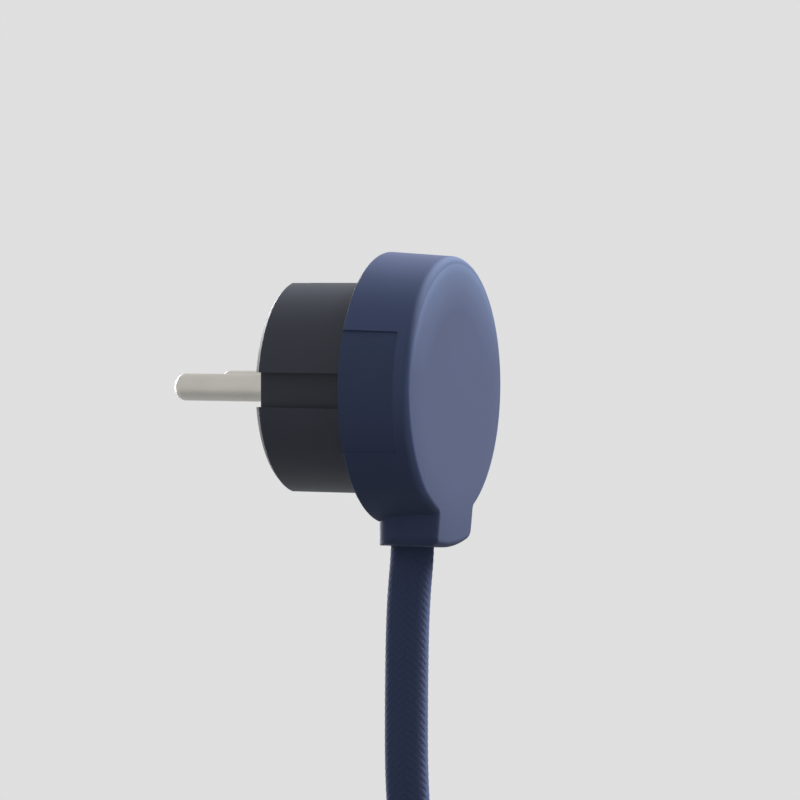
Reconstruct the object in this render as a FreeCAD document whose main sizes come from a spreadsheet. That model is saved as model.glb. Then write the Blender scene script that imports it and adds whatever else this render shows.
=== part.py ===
import FreeCAD, Part
import math
import os
import Sketcher

# Flat low profile mains plug with a braided lead, in millimetres.
# X points right, Z up and Y into the socket. The origin is the middle of the engagement face,
# between the two pins. The plug's front is at negative Y.

SIZES = {
    # pins and engagement part
    "pin_pitch": 19.0,
    "pin_radius": 2.4,
    "pin_reach": 19.0,
    "pin_tip_radius": 1.9,
    "pin_groove_width": 1.5,
    "pin_groove_depth": 0.3,
    "insert_depth": 17.5,
    "insert_edge": 0.8,
    "guide_width": 6.0,
    "guide_depth": 2.95,
    "earth_hole_height": 10.0,
    "engagement_wall": 3.5,
    "recess_side": 1.0,
    "well_inner": 5.2,
    "well_outer": 11.5,
    "well_low": 5.6,
    "well_top": 13.0,
    "well_depth": 13.0,
    "earth_pin_radius": 2.4,
    "flange_width": 2.0,
    "flange_front": 2.0,
    "flange_sink": 0.2,
    # earth strip
    "strip_width": 6.0,
    "strip_thick": 1.0,
    "strip_set": 1.55,
    "strip_end": 2.5,
    "strip_bend": 1.4,
    "strip_sink": 1.6,
    "strip_relief": 0.4,
    "neck_width": 3.0,
    "neck_length": 3.8,
    # terminals
    "block_side": 7.0,
    "block_depth": 7.4,
    "block_sink": 2.5,
    "block_edge": 0.6,
    "wire_hole_radius": 1.4,
    "wire_hole_set": 3.2,
    "earth_block_side": 6.0,
    "earth_block_depth": 5.8,
    "stud_radius": 1.6,
    "stud_reach": 1.4,
    "sleeve_radius": 3.6,
    "sleeve_base": 1.5,
    "sleeve_slit": 0.8,
    "sleeve_slit_depth": 8.0,
    # screws
    "terminal_head_radius": 2.2,
    "terminal_head": 1.5,
    "terminal_shank_radius": 1.3,
    "cover_screw_across": 22.0,
    "cover_screw_rise": 5.0,
    "cover_head_radius": 2.6,
    "cover_head": 1.8,
    "cover_shank_radius": 1.4,
    "cover_screw_length": 15.0,
    "cover_head_seat": 9.5,
    "clamp_screw_across": 13.0,
    "clamp_head_radius": 2.1,
    "clamp_head": 1.5,
    "clamp_shank_radius": 1.1,
    "clamp_screw_length": 9.5,
    "slot_width": 0.8,
    "slot_depth": 0.8,
    # moulded cover
    "clamp_room": 1.65,
    "cover_back_radius": 23.75,
    "cover_taper": 0.85,
    "cover_wall": 2.0,
    "cover_side_wall": 2.75,
    "cover_back_edge": 0.5,
    "cover_front_edge": 1.25,
    "crown_width": 5.4,
    "crown_radius": 75.0,
    "boss_radius": 2.8,
    "boss_pilot_depth": 6.5,
    "rest_post_radius": 1.6,
    "rest_post_set": 7.0,
    "rest_post_height": 11.0,
    "grip_depth": 0.3,
    "grip_angle": 52.5,
    "grip_front": 2.8,
    "grip_slope": 0.5,
    # cord tab
    "tab_width": 17.8,
    "tab_drop": 3.8,
    "tab_set_back": 0.15,
    "tab_back_round": 5.0,
    "tab_corner": 1.8,
    "tab_foot_radius": 40.0,
    "junction_round": 0.4,
    # lead
    "cord_radius": 3.7,
    "cord_set": 4.5,
    "cord_sink": 5.95,
    "sheath_radius": 3.1,
    "core_radius": 1.2,
    "core_pitch": 1.56,
    "ferrule_radius": 1.3,
    "ferrule_reach": 5.8,
    "ferrule_collar": 0.4,
    "core_bend_across": 2.9,
    "core_bend_drop": 5.5,
    "sheath_top": 11.8,
    # cord clamp
    "clamp_set": 6.0,
    "clamp_length": 17.8,
    "clamp_width": 4.0,
    "clamp_hump": 8.4,
    "clamp_roof": 1.5,
    "clamp_ends": 4.9,
    "clamp_lift": 0.3,
    "clamp_corner": 1.5,
    "clamp_thread_spare": 0.7,
    # coil, tie and far connector
    "coil_outer_turn": 53.0,
    "coil_inner_turn": 31.4,
    "coil_drop": 156.7,
    "coil_edge": 3.0,
    "tie_angle": 25.0,
    "tie_sweep": 14.0,
    "tie_thick": 1.6,
    "nose_width": 24.0,
    "nose_depth": 16.2,
    "nose_length": 16.5,
    "nose_chamfer": 4.2,
    "contact_pitch": 14.0,
    "contact_offset": 4.0,
    "contact_slot_long": 4.6,
    "contact_slot_wide": 2.6,
    "contact_length": 12.0,
    "contact_sink": 1.6,
    "contact_wall": 0.4,
    "grip_width": 27.5,
    "grip_thick": 19.5,
    "grip_length": 19.0,
    "grip_flare": 11.0,
    "grip_round": 4.0,
    "grip_edge": 1.0,
    "nose_edge": 0.6,
    "root_width": 20.0,
    "root_depth": 12.0,
    "root_length": 6.0,
    "taper_lap": 2.0,
    "neck_side": 13.0,
    "taper_length": 26.0,
    "taper_start_radius": 6.4,
    "taper_end_radius": 4.7,
    "taper_ring": 2.4,
    "taper_ring_depth": 0.9,
    # fits
    "pin_clearance": 0.05,
    "earth_hole_clearance": 0.6,
    "part_clearance": 0.1,
    "case_clearance": 0.25,
    "cord_clearance": 0.15,
}

# Route of the lead from inside the tab to the coil, as X, Y and Z of each corner
CORD_ROUTE = [
    (0.0, -22.0, -21.6),
    (0.0, -22.0, -27.8),
    (0.0, -21.2, -38.0),
    (0.0, -21.03, -53.0),
    (0.2, -21.05, -70.0),
    (2.8, -21.05, -81.7),
    (7.9, -21.05, -92.6),
    (15.2, -21.05, -102.1),
    (24.4, -21.05, -109.8),
]
# Route of the free end from the coil to the connector
TAIL_ROUTE = [
    (53.3, -28.45, -170.0),
    (53.0, -28.45, -182.0),
    (53.0, -28.45, -193.0),
]

# The part of the shorter run that each arc of a tube takes up, and the strain relief's rings
ARC_SHARE = 0.45
TAPER_RINGS = 4

document = FreeCAD.newDocument("flat_plug")
solids = {}


class Size:
    """A size with its number and the sheet formula that gives it."""

    def __init__(self, number, formula):
        self.number = number
        self.formula = formula

    def join(self, other, sign, number):
        other_formula = other.formula if isinstance(other, Size) else repr(other)
        return Size(number, f"({self.formula} {sign} {other_formula})")

    def __add__(self, other):
        return self.join(other, "+", self.number + plain(other))

    def __sub__(self, other):
        return self.join(other, "-", self.number - plain(other))

    def __mul__(self, other):
        return self.join(other, "*", self.number * plain(other))

    def __truediv__(self, other):
        return self.join(other, "/", self.number / plain(other))

    def __neg__(self):
        return Size(-self.number, f"(-1 * {self.formula})")


def plain(value):
    """The number of a size, or the value itself."""
    return value.number if isinstance(value, Size) else value


def root(size):
    """The square root of a size."""
    return Size(math.sqrt(size.number), f"sqrt({size.formula})")


def make_sheet():
    """Write the driving sizes into the document's spreadsheet."""
    sheet = document.addObject("Spreadsheet::Sheet", "sizes")
    for row, (name, value) in enumerate(SIZES.items(), 1):
        sheet.set(f"A{row}", name)
        sheet.set(f"B{row}", str(value))
        sheet.setAlias(f"B{row}", name)
    document.recompute()


class Sheet:
    """The driving sizes, by name."""

    def __getattr__(self, name):
        return Size(SIZES[name], "sizes." + name)


size = Sheet()

# Planes and places that several pieces share
cover_front_radius = size.cover_back_radius - size.cover_taper
cavity_radius = size.cover_back_radius - size.cover_side_wall
flange_radius = cavity_radius - size.case_clearance
insert_radius = flange_radius - size.flange_width
strip_reach = insert_radius - size.strip_set
tab_reach = size.cover_back_radius + size.tab_drop
crown_start = cover_front_radius - size.crown_width
clamp_height = cavity_radius - size.clamp_set
cover_screw_drop = clamp_height - size.cover_screw_rise
seat_y = -size.insert_depth
clamp_arch = size.sheath_radius + size.pin_clearance
cover_depth = size.cord_set + clamp_arch + size.clamp_roof + size.clamp_room + size.cover_wall
front_y = seat_y - cover_depth
inner_front_y = front_y + size.cover_wall
insert_front_y = seat_y - size.flange_front
strip_front_y = insert_front_y + size.strip_sink
strip_back_y = strip_front_y + size.strip_thick
block_back_y = insert_front_y + size.block_sink
block_front_y = block_back_y - size.block_depth
wire_y = block_front_y + size.wire_hole_set
earth_block_front_y = strip_front_y - size.earth_block_depth
cord_y = seat_y - size.cord_set
earth_hole_radius = size.earth_pin_radius + size.earth_hole_clearance
clamp_back_y = insert_front_y - size.clamp_lift
clamp_end_y = clamp_back_y - size.clamp_ends


def new_body(label, x=None, y=None, z=None):
    """A body of the given name, moved to the given place."""
    body = document.addObject("PartDesign::Body", label)
    body.Label = label
    for axis, value in (("x", x), ("y", y), ("z", z)):
        if value is not None:
            body.setExpression(f"Placement.Base.{axis}", value.formula)
    solids[label] = body
    return body


def new_sketch(body, role, offset=None):
    """A sketch on one of the body's own origin planes, lifted along the plane's normal."""
    plane = next(item for item in body.Origin.OriginFeatures if item.Role == role)
    sketch = body.newObject("Sketcher::SketchObject", body.Name + "_outline")
    sketch.AttachmentSupport = [(plane, "")]
    sketch.MapMode = "FlatFace"
    if offset is not None:
        sketch.setExpression("AttachmentOffset.Base.z", offset.formula)
    return sketch


def front_sketch(body, y=None):
    """A sketch that looks along Y, at the given Y. Its normal points to the front."""
    return new_sketch(body, "XZ_Plane", None if y is None else -y)


def bind(sketch, kind, place, value):
    """Constrain one distance or radius of the sketch to a size."""
    number = sketch.addConstraint(Sketcher.Constraint(kind, *place, plain(value)))
    if isinstance(value, Size):
        sketch.setExpression(f"Constraints[{number}]", value.formula)


def pin_point(sketch, shape, end, x, y):
    """Hold a point of the sketch at x and y. Zero holds it on the axis."""
    for value, kind, axis in ((x, "DistanceX", -2), (y, "DistanceY", -1)):
        if isinstance(value, Size) or value:
            bind(sketch, kind, (-1, 1, shape, end), value)
        else:
            sketch.addConstraint(Sketcher.Constraint("PointOnObject", shape, end, axis))


def arc_between(start, end, radius, turn):
    """The short arc from start to end that turns left or right, as a counterclockwise arc."""
    middle = (start + end) * 0.5
    along = end - start
    rise = math.sqrt(max(radius**2 - (along.Length / 2) ** 2, 0.0))
    across = FreeCAD.Vector(-along.y, along.x, 0).normalize() * (rise if turn == "left" else -rise)
    centre = middle + across
    first, last = (start, end) if turn == "left" else (end, start)
    circle = Part.Circle(centre, FreeCAD.Vector(0, 0, 1), radius)
    return Part.ArcOfCircle(circle, circle.parameter(first), circle.parameter(last))


def add_outline(sketch, corners, arcs=None):
    """A closed outline through the corners. The stretch after corner n is an arc where arcs has n."""
    arcs = arcs or {}
    places = [FreeCAD.Vector(plain(x), plain(y), 0) for x, y in corners]
    base = sketch.GeometryCount
    count = len(corners)
    ends = []
    for number in range(count):
        start = places[number]
        end = places[(number + 1) % count]
        if number in arcs:
            turn, radius = arcs[number]
            sketch.addGeometry(arc_between(start, end, plain(radius), turn), False)
            ends.append((1, 2) if turn == "left" else (2, 1))
        else:
            sketch.addGeometry(Part.LineSegment(start, end), False)
            ends.append((1, 2))
    for number in range(count):
        follower = (number + 1) % count
        meeting = (base + number, ends[number][1], base + follower, ends[follower][0])
        sketch.addConstraint(Sketcher.Constraint("Coincident", *meeting))
    for number, (x, y) in enumerate(corners):
        pin_point(sketch, base + number, ends[number][0], x, y)
    for number, (turn, radius) in arcs.items():
        bind(sketch, "Radius", (base + number,), radius)


def add_circle(sketch, x, y, radius):
    """A circle in the sketch."""
    centre = FreeCAD.Vector(plain(x), plain(y), 0)
    shape = sketch.addGeometry(Part.Circle(centre, FreeCAD.Vector(0, 0, 1), plain(radius)), False)
    pin_point(sketch, shape, 3, x, y)
    bind(sketch, "Radius", (shape,), radius)


def add_rectangle(sketch, left, bottom, right, top):
    """An upright rectangle in the sketch."""
    add_outline(sketch, [(left, bottom), (right, bottom), (right, top), (left, top)])


def feature(body, kind, sketch, **settings):
    """A sketch feature whose settings are sizes, or plain values."""
    item = body.newObject("PartDesign::" + kind, body.Name + "_" + kind.lower())
    item.Profile = sketch
    for name, value in settings.items():
        if isinstance(value, Size):
            item.setExpression(name, value.formula)
        else:
            setattr(item, name, value)
    sketch.Visibility = False
    return item


def cut(body, kind, sketch, **settings):
    """A cutting feature, which has to take material away."""
    document.recompute()
    before = body.Tip.Shape.Volume
    item = feature(body, kind, sketch, **settings)
    document.recompute()
    if item.Shape.Volume > before - 1e-4:
        raise ValueError(f"{item.Label} takes nothing away")
    return item


def turned(body, corners, arcs=None):
    """A piece turned about its own Y axis, from an outline of radius and Y."""
    sketch = new_sketch(body, "XY_Plane")
    add_outline(sketch, corners, arcs)
    return feature(body, "Revolution", sketch, ReferenceAxis=(sketch, ["V_Axis"]), Angle=360.0)


def round_edges(body, radius, wanted, kind="Fillet"):
    """Round or bevel the edges of the body's last feature that the test picks."""
    document.recompute()
    base = body.Tip
    names = [f"Edge{n}" for n, edge in enumerate(base.Shape.Edges, 1) if wanted(edge)]
    if not names:
        raise ValueError(f"{body.Label} has no such edge")
    item = body.newObject("PartDesign::" + kind, body.Name + "_" + kind.lower())
    item.Base = (base, names)
    item.setExpression("Radius" if kind == "Fillet" else "Size", radius.formula)
    document.recompute()
    return item


def middle_of(edge):
    """The point halfway along an edge."""
    return edge.valueAt((edge.FirstParameter + edge.LastParameter) / 2)


def near(a, b, within=0.01):
    """Whether two numbers agree."""
    return abs(plain(a) - plain(b)) < within


def make_cover():
    """Moulded cover: a shallow disc with a crowned front, grips at its sides and the cord tab below."""
    body = new_body("front_cover")
    half = size.tab_width / 2
    tab_back_y = seat_y - size.tab_set_back

    tab = front_sketch(body, tab_back_y)
    corner = size.tab_corner
    foot = size.tab_foot_radius
    across = half - corner
    down = root((foot - corner) * (foot - corner) - across * across)
    share = foot / (foot - corner)
    side_end = foot - tab_reach - down
    foot_end = foot - tab_reach - down * share
    corners = [
        (-half, side_end),
        (-across * share, foot_end),
        (across * share, foot_end),
        (half, side_end),
        (half, -crown_start),
        (-half, -crown_start),
    ]
    arcs = {0: ("left", corner), 1: ("left", foot), 2: ("left", corner)}
    add_outline(tab, corners, arcs)
    feature(body, "Pad", tab, Length=cover_depth - size.tab_set_back)

    add_disc(body, front_y)

    crown = new_sketch(body, "XY_Plane")
    reach = tab_reach + size.cover_wall
    radius = size.crown_radius
    fall = radius - root(radius * radius - (reach - crown_start) * (reach - crown_start))
    corners = [
        (crown_start, front_y),
        (reach, front_y + fall),
        (reach, front_y - size.cover_wall),
        (crown_start, front_y - size.cover_wall),
    ]
    add_outline(crown, corners, {0: ("left", radius)})
    cut(body, "Groove", crown, ReferenceAxis=(crown, ["V_Axis"]), Angle=360.0)

    round_edges(body, size.junction_round, lambda edge: on_junction(middle_of(edge)))
    round_edges(body, size.cover_front_edge, lambda edge: on_front_rim(middle_of(edge)))
    round_tab_back(body)
    add_disc(body, tab_back_y - size.tab_back_round - 0.5)
    hollow_cover(body)


def cover_radius(y):
    """Radius of the cover's tapered outside at a depth."""
    return size.cover_back_radius - size.cover_taper * (seat_y - y) / cover_depth


def add_disc(body, front):
    """The disc of the cover, from its back edge to a depth, turned about its axis."""
    disc = new_sketch(body, "XY_Plane")
    corners = [
        (0, seat_y),
        (size.cover_back_radius - size.cover_back_edge, seat_y),
        (size.cover_back_radius, seat_y - size.cover_back_edge),
        (cover_radius(front), front),
        (0, front),
    ]
    add_outline(disc, corners, {1: ("right", size.cover_back_edge)})
    feature(body, "Revolution", disc, ReferenceAxis=(disc, ["V_Axis"]), Angle=360.0)


def round_tab_back(body):
    """The tab's two upright back corners, rounded as far up as the disc."""
    half = size.tab_width / 2
    tab_back_y = seat_y - size.tab_set_back
    for side in (1, -1):
        ground = new_sketch(body, "XY_Plane", -tab_reach)
        round_start = half - size.tab_back_round
        outer = half + 1.0
        corners = [
            (round_start * side, tab_back_y),
            (half * side, tab_back_y - size.tab_back_round),
            (outer * side, tab_back_y - size.tab_back_round),
            (outer * side, tab_back_y + 1.0),
            (round_start * side, tab_back_y + 1.0),
        ]
        turn = "right" if side > 0 else "left"
        add_outline(ground, corners, {0: (turn, size.tab_back_round)})
        cut(body, "Pocket", ground, Length=tab_reach - crown_start, Reversed=True)


def on_junction(point):
    """Whether a point lies where the tab's sides meet the disc."""
    out = math.hypot(point.x, point.z)
    on_side = near(abs(point.x), size.tab_width / 2)
    return on_side and plain(cover_front_radius) - 0.5 < out < plain(size.cover_back_radius)


def on_front_rim(point):
    """Whether a point lies on the rim of the crowned front."""
    out = math.hypot(point.x, point.z)
    return point.y < plain(front_y) + 1.2 and out > plain(cover_front_radius) - 0.5


def hollow_cover(body):
    """The inside of the cover: the cavity, the cord's hole, the posts behind the insert and the grips."""
    cavity = new_sketch(body, "XY_Plane")
    add_rectangle(cavity, 0, inner_front_y, cavity_radius, seat_y + 1.0)
    cut(body, "Groove", cavity, ReferenceAxis=(cavity, ["V_Axis"]), Angle=360.0)

    hole = new_sketch(body, "XY_Plane", -tab_reach)
    add_circle(hole, 0, cord_y, size.cord_radius + size.cord_clearance)
    cut(body, "Pocket", hole, Length=tab_reach - flange_radius + 2.0, Reversed=True)

    posts = front_sketch(body, insert_front_y)
    for side in (1, -1):
        add_circle(posts, size.cover_screw_across / 2 * side, -cover_screw_drop, size.boss_radius)
        rest_x = (cavity_radius - size.rest_post_set) * side
        add_circle(posts, rest_x, size.rest_post_height, size.rest_post_radius)
    post_length = cover_depth - size.flange_front - size.cover_wall / 2
    feature(body, "Pad", posts, Length=post_length)

    pilots = front_sketch(body, insert_front_y)
    for side in (1, -1):
        pilot_radius = size.cover_shank_radius + size.pin_clearance
        add_circle(pilots, size.cover_screw_across / 2 * side, -cover_screw_drop, pilot_radius)
    cut(body, "Pocket", pilots, Length=size.boss_pilot_depth, Reversed=True)

    slope = (size.cover_back_radius - cover_front_radius) / cover_depth
    front_wall = cover_front_radius + slope * size.grip_front
    ramp_wall = front_wall + slope * size.grip_slope
    front = front_y + size.grip_front
    ramp = front + size.grip_slope
    for side in (1, -1):
        grip = new_sketch(body, "XY_Plane")
        corners = [
            ((size.cover_back_radius - size.grip_depth) * side, seat_y + 1.0),
            ((size.cover_back_radius + 1.0) * side, seat_y + 1.0),
            ((front_wall + 1.0) * side, front),
            (front_wall * side, front),
            ((ramp_wall - size.grip_depth) * side, ramp),
        ]
        add_outline(grip, corners)
        cut(body, "Groove", grip, ReferenceAxis=(grip, ["V_Axis"]), Angle=size.grip_angle, Midplane=True)


def make_insert():
    """Contact carrier: the round engagement part with its guide grooves, wells and seats."""
    body = new_body("rear_insert")
    flange_back_y = seat_y - size.flange_sink
    edge = size.insert_edge
    corners = [
        (0, insert_front_y),
        (flange_radius, insert_front_y),
        (flange_radius, flange_back_y),
        (insert_radius, flange_back_y),
        (insert_radius, -edge),
        (insert_radius - edge, 0),
        (0, 0),
    ]
    turned(body, corners)

    outside = insert_radius + 1.0
    grooves = front_sketch(body)
    recess_floor = strip_reach - size.strip_thick - size.part_clearance
    recess_half = size.strip_width / 2 + size.recess_side
    for side in (1, -1):
        left, right = sorted(((insert_radius - size.guide_depth) * side, outside * side), key=plain)
        add_rectangle(grooves, left, -(size.guide_width / 2), right, size.guide_width / 2)
        low, high = sorted((recess_floor * side, outside * side), key=plain)
        add_rectangle(grooves, -recess_half, low, recess_half, high)
    cut(body, "Pocket", grooves, Length=-flange_back_y, Reversed=True)

    channel = front_sketch(body, insert_front_y)
    add_outline(channel, strip_corners(size.part_clearance))
    cut(body, "Pocket", channel, Length=strip_back_y - insert_front_y)
    round_edges(body, size.strip_relief, lambda edge: under_bend(edge, recess_floor), "Chamfer")

    bore = front_sketch(body, strip_back_y)
    add_circle(bore, 0, size.earth_hole_height, size.sleeve_radius + size.part_clearance)
    cut(body, "Pocket", bore, Length=-strip_back_y - size.engagement_wall)

    mouth = front_sketch(body)
    add_circle(mouth, 0, size.earth_hole_height, earth_hole_radius)
    cut(body, "Pocket", mouth, Length=size.engagement_wall, Reversed=True)

    holes = front_sketch(body)
    for side in (1, -1):
        add_circle(holes, size.pin_pitch / 2 * side, 0, size.pin_radius + size.pin_clearance)
        shank_hole = size.cover_shank_radius + size.part_clearance
        add_circle(holes, size.cover_screw_across / 2 * side, -cover_screw_drop, shank_hole)
    cut(body, "Pocket", holes, Length=-insert_front_y, Reversed=True)

    heads = front_sketch(body)
    for side in (1, -1):
        head_hole = size.cover_head_radius + size.case_clearance
        add_circle(heads, size.cover_screw_across / 2 * side, -cover_screw_drop, head_hole)
    cut(body, "Pocket", heads, Length=size.cover_head_seat, Reversed=True)

    seats = front_sketch(body, insert_front_y)
    half = size.block_side / 2 + size.part_clearance
    for side in (1, -1):
        centre = size.pin_pitch / 2 * side
        add_rectangle(seats, centre - half, -half, centre + half, half)
    cut(body, "Pocket", seats, Length=size.block_sink)

    threads = front_sketch(body, insert_front_y)
    for side in (1, -1):
        thread = size.clamp_shank_radius + size.pin_clearance
        add_circle(threads, size.clamp_screw_across / 2 * side, -clamp_height, thread)
    thread_depth = size.clamp_screw_length - size.clamp_ends - size.clamp_lift + size.clamp_thread_spare
    cut(body, "Pocket", threads, Length=thread_depth)

    wells = front_sketch(body, insert_front_y)
    for side in (1, -1):
        left, right = sorted((size.well_inner * side, size.well_outer * side), key=plain)
        add_rectangle(wells, left, size.well_low, right, size.well_top)
    cut(body, "Pocket", wells, Length=size.well_depth)

    trough = new_sketch(body, "XY_Plane", -flange_radius - 1.0)
    add_circle(trough, 0, cord_y, size.sheath_radius + size.part_clearance)
    cut(body, "Pocket", trough, Length=flange_radius + 1.0 - size.sheath_top, Reversed=True)


def under_bend(edge, reach):
    """Whether an edge of the carrier lies inside a bend of the earth strip."""
    point = middle_of(edge)
    return runs_along(edge, "x") and near(abs(point.z), reach) and near(point.y, strip_back_y)


def strip_corners(spare):
    """The earth strip's outline from the front, T-shaped at its lower end, with spare room around it."""
    wide = size.strip_width / 2 + spare
    neck = size.neck_width / 2 + spare
    reach = strip_reach + spare
    shoulder = -(strip_reach - size.strip_thick - spare)
    start = shoulder + size.neck_length - spare * 2
    right = [(wide, -reach), (wide, shoulder), (neck, shoulder), (neck, start), (wide, start), (wide, reach)]
    return right + [(-x, z) for x, z in reversed(right)]


def make_earth_strip():
    """Sprung earth strip: a U whose legs are the side contacts, with a neck under the cord."""
    body = new_body("earth_strip")
    reach = strip_reach
    inner = reach - size.strip_thick
    bend = size.strip_bend
    inside = bend - size.strip_thick
    end_y = -size.strip_end
    side = new_sketch(body, "YZ_Plane", -(size.strip_width / 2))
    corners = [
        (end_y, reach),
        (strip_front_y + bend, reach),
        (strip_front_y, reach - bend),
        (strip_front_y, bend - reach),
        (strip_front_y + bend, -reach),
        (end_y, -reach),
        (end_y, -inner),
        (strip_back_y + inside, -inner),
        (strip_back_y, inside - inner),
        (strip_back_y, inner - inside),
        (strip_back_y + inside, inner),
        (end_y, inner),
    ]
    arcs = {1: ("left", bend), 3: ("left", bend), 7: ("right", inside), 9: ("right", inside)}
    add_outline(side, corners, arcs)
    feature(body, "Pad", side, Length=size.strip_width)

    necks = front_sketch(body, strip_front_y - 1.0)
    for hand in (1, -1):
        near_x, far_x = size.neck_width / 2 * hand, (size.strip_width / 2 + 1.0) * hand
        left, right = sorted((near_x, far_x), key=plain)
        add_rectangle(necks, left, -inner, right, size.neck_length - inner)
    cut(body, "Pocket", necks, Length=size.strip_thick + 1.5)

    hole = front_sketch(body, strip_front_y - 1.0)
    add_circle(hole, 0, size.earth_hole_height, size.stud_radius + size.pin_clearance)
    cut(body, "Pocket", hole, Length=size.strip_thick + 1.5)


def make_earth_sleeve():
    """Slit sleeve that takes the socket's earth pin, with the stud that carries it on the strip."""
    body = new_body("earth_sleeve", z=size.earth_hole_height)
    mouth_y = -size.engagement_wall - size.part_clearance
    bore = size.earth_pin_radius + size.pin_clearance
    floor_y = strip_back_y + size.sleeve_base
    stud_y = strip_front_y - size.stud_reach
    corners = [
        (0, stud_y),
        (size.stud_radius, stud_y),
        (size.stud_radius, strip_back_y),
        (size.sleeve_radius, strip_back_y),
        (size.sleeve_radius, mouth_y),
        (bore, mouth_y),
        (bore, floor_y),
        (0, floor_y),
    ]
    turned(body, corners)
    half = size.sleeve_slit / 2
    reach = size.sleeve_radius + 1.0
    for wide, tall in ((half, reach), (reach, half)):
        slit = front_sketch(body, mouth_y)
        add_rectangle(slit, -wide, -tall, wide, tall)
        cut(body, "Pocket", slit, Length=size.sleeve_slit_depth, Reversed=True)


def make_earth_block():
    """Terminal block riveted on the earth strip."""
    body = new_body("earth_block", z=size.earth_hole_height)
    half = size.earth_block_side / 2
    foot = front_sketch(body, strip_front_y)
    add_rectangle(foot, -half, -half, half, half)
    feature(body, "Pad", foot, Length=size.earth_block_depth)
    round_edges(body, size.block_edge, lambda edge: runs_along(edge, "y"), "Chamfer")
    stud = front_sketch(body, strip_front_y)
    add_circle(stud, 0, 0, size.stud_radius + size.pin_clearance)
    cut(body, "Pocket", stud, Length=size.stud_reach + size.part_clearance, Reversed=True)
    wire = new_sketch(body, "XY_Plane", -half)
    add_circle(wire, 0, wire_y, size.wire_hole_radius)
    cut(body, "Pocket", wire, Length=size.earth_block_side, Reversed=True)
    thread = front_sketch(body, earth_block_front_y)
    add_circle(thread, 0, 0, size.terminal_shank_radius + size.pin_clearance)
    cut(body, "Pocket", thread, Length=wire_y - earth_block_front_y)


def runs_along(edge, axis):
    """Whether a straight edge runs along the named axis."""
    if not isinstance(edge.Curve, (Part.Line, Part.LineSegment)):
        return False
    return abs(getattr(edge.tangentAt(edge.FirstParameter), axis)) > 0.999


def make_pin(label, side):
    """Contact pin with a rounded tip, a retaining groove and its terminal block."""
    body = new_body(label, x=size.pin_pitch / 2 * side)
    radius = size.pin_radius
    tip = size.pin_tip_radius
    groove = radius - size.pin_groove_depth
    corners = [
        (0, block_back_y),
        (radius, block_back_y),
        (radius, -size.pin_groove_width),
        (groove, -size.pin_groove_width),
        (groove, 0),
        (radius, 0),
        (radius, size.pin_reach - tip),
        (radius - tip, size.pin_reach),
        (0, size.pin_reach),
    ]
    turned(body, corners, {6: ("left", tip)})
    half = size.block_side / 2
    foot = front_sketch(body, block_back_y)
    add_rectangle(foot, -half, -half, half, half)
    feature(body, "Pad", foot, Length=size.block_depth)
    round_edges(body, size.block_edge, lambda edge: runs_along(edge, "y"), "Chamfer")
    wire = new_sketch(body, "YZ_Plane", -half)
    add_circle(wire, wire_y, 0, size.wire_hole_radius)
    cut(body, "Pocket", wire, Length=size.block_side, Reversed=True)
    thread = front_sketch(body, block_front_y)
    add_circle(thread, 0, 0, size.terminal_shank_radius + size.pin_clearance)
    cut(body, "Pocket", thread, Length=wire_y - block_front_y)


def make_screw(label, place, under_head_y, tip_y, head, shank_radius):
    """Slotted screw along Y at the place's X and Z. Its head lies beyond under_head_y, away from its tip."""
    body = new_body(label, x=place[0], z=place[1])
    head_radius, head_height = head
    to_front = plain(tip_y) > plain(under_head_y)
    top_y = under_head_y - head_height if to_front else under_head_y + head_height
    corners = [
        (0, top_y),
        (head_radius, top_y),
        (head_radius, under_head_y),
        (shank_radius, under_head_y),
        (shank_radius, tip_y),
        (0, tip_y),
    ]
    turned(body, corners if to_front else corners[::-1])
    slot = front_sketch(body, top_y)
    half = size.slot_width / 2
    reach = head_radius + 1.0
    add_rectangle(slot, -reach, -half, reach, half)
    cut(body, "Pocket", slot, Length=size.slot_depth, Reversed=not to_front)
    return body


def make_screw_pair(label, single):
    """A screw and its mirror image across the plug's middle plane, as one group of two solids."""
    del solids[single.Label]
    mirrored = document.addObject("Part::Mirroring", label + "_left")
    mirrored.Source = single
    mirrored.Normal = FreeCAD.Vector(1, 0, 0)
    pair = document.addObject("Part::Compound", label)
    pair.Label = label
    pair.Links = [single, mirrored]
    solids[label] = pair


def make_screws():
    """The terminal screws, and the screws of the cover and the cord clamp."""
    terminal_head = (size.terminal_head_radius, size.terminal_head)
    tip_y = wire_y - size.ferrule_radius
    for label, side in (("line_screw", -1), ("neutral_screw", 1)):
        place = (size.pin_pitch / 2 * side, None)
        make_screw(label, place, block_front_y, tip_y, terminal_head, size.terminal_shank_radius)
    place = (None, size.earth_hole_height)
    make_screw("earth_screw", place, earth_block_front_y, tip_y, terminal_head, size.terminal_shank_radius)

    place = (size.cover_screw_across / 2, -cover_screw_drop)
    seat = -size.cover_head_seat
    head = (size.cover_head_radius, size.cover_head)
    end = seat - size.cover_screw_length
    single = make_screw("cover_screw", place, seat, end, head, size.cover_shank_radius)
    make_screw_pair("cover_screws", single)

    place = (size.clamp_screw_across / 2, -clamp_height)
    head = (size.clamp_head_radius, size.clamp_head)
    tip_y = clamp_end_y + size.clamp_screw_length
    single = make_screw("clamp_screw", place, clamp_end_y, tip_y, head, size.clamp_shank_radius)
    make_screw_pair("clamp_screws", single)


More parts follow.
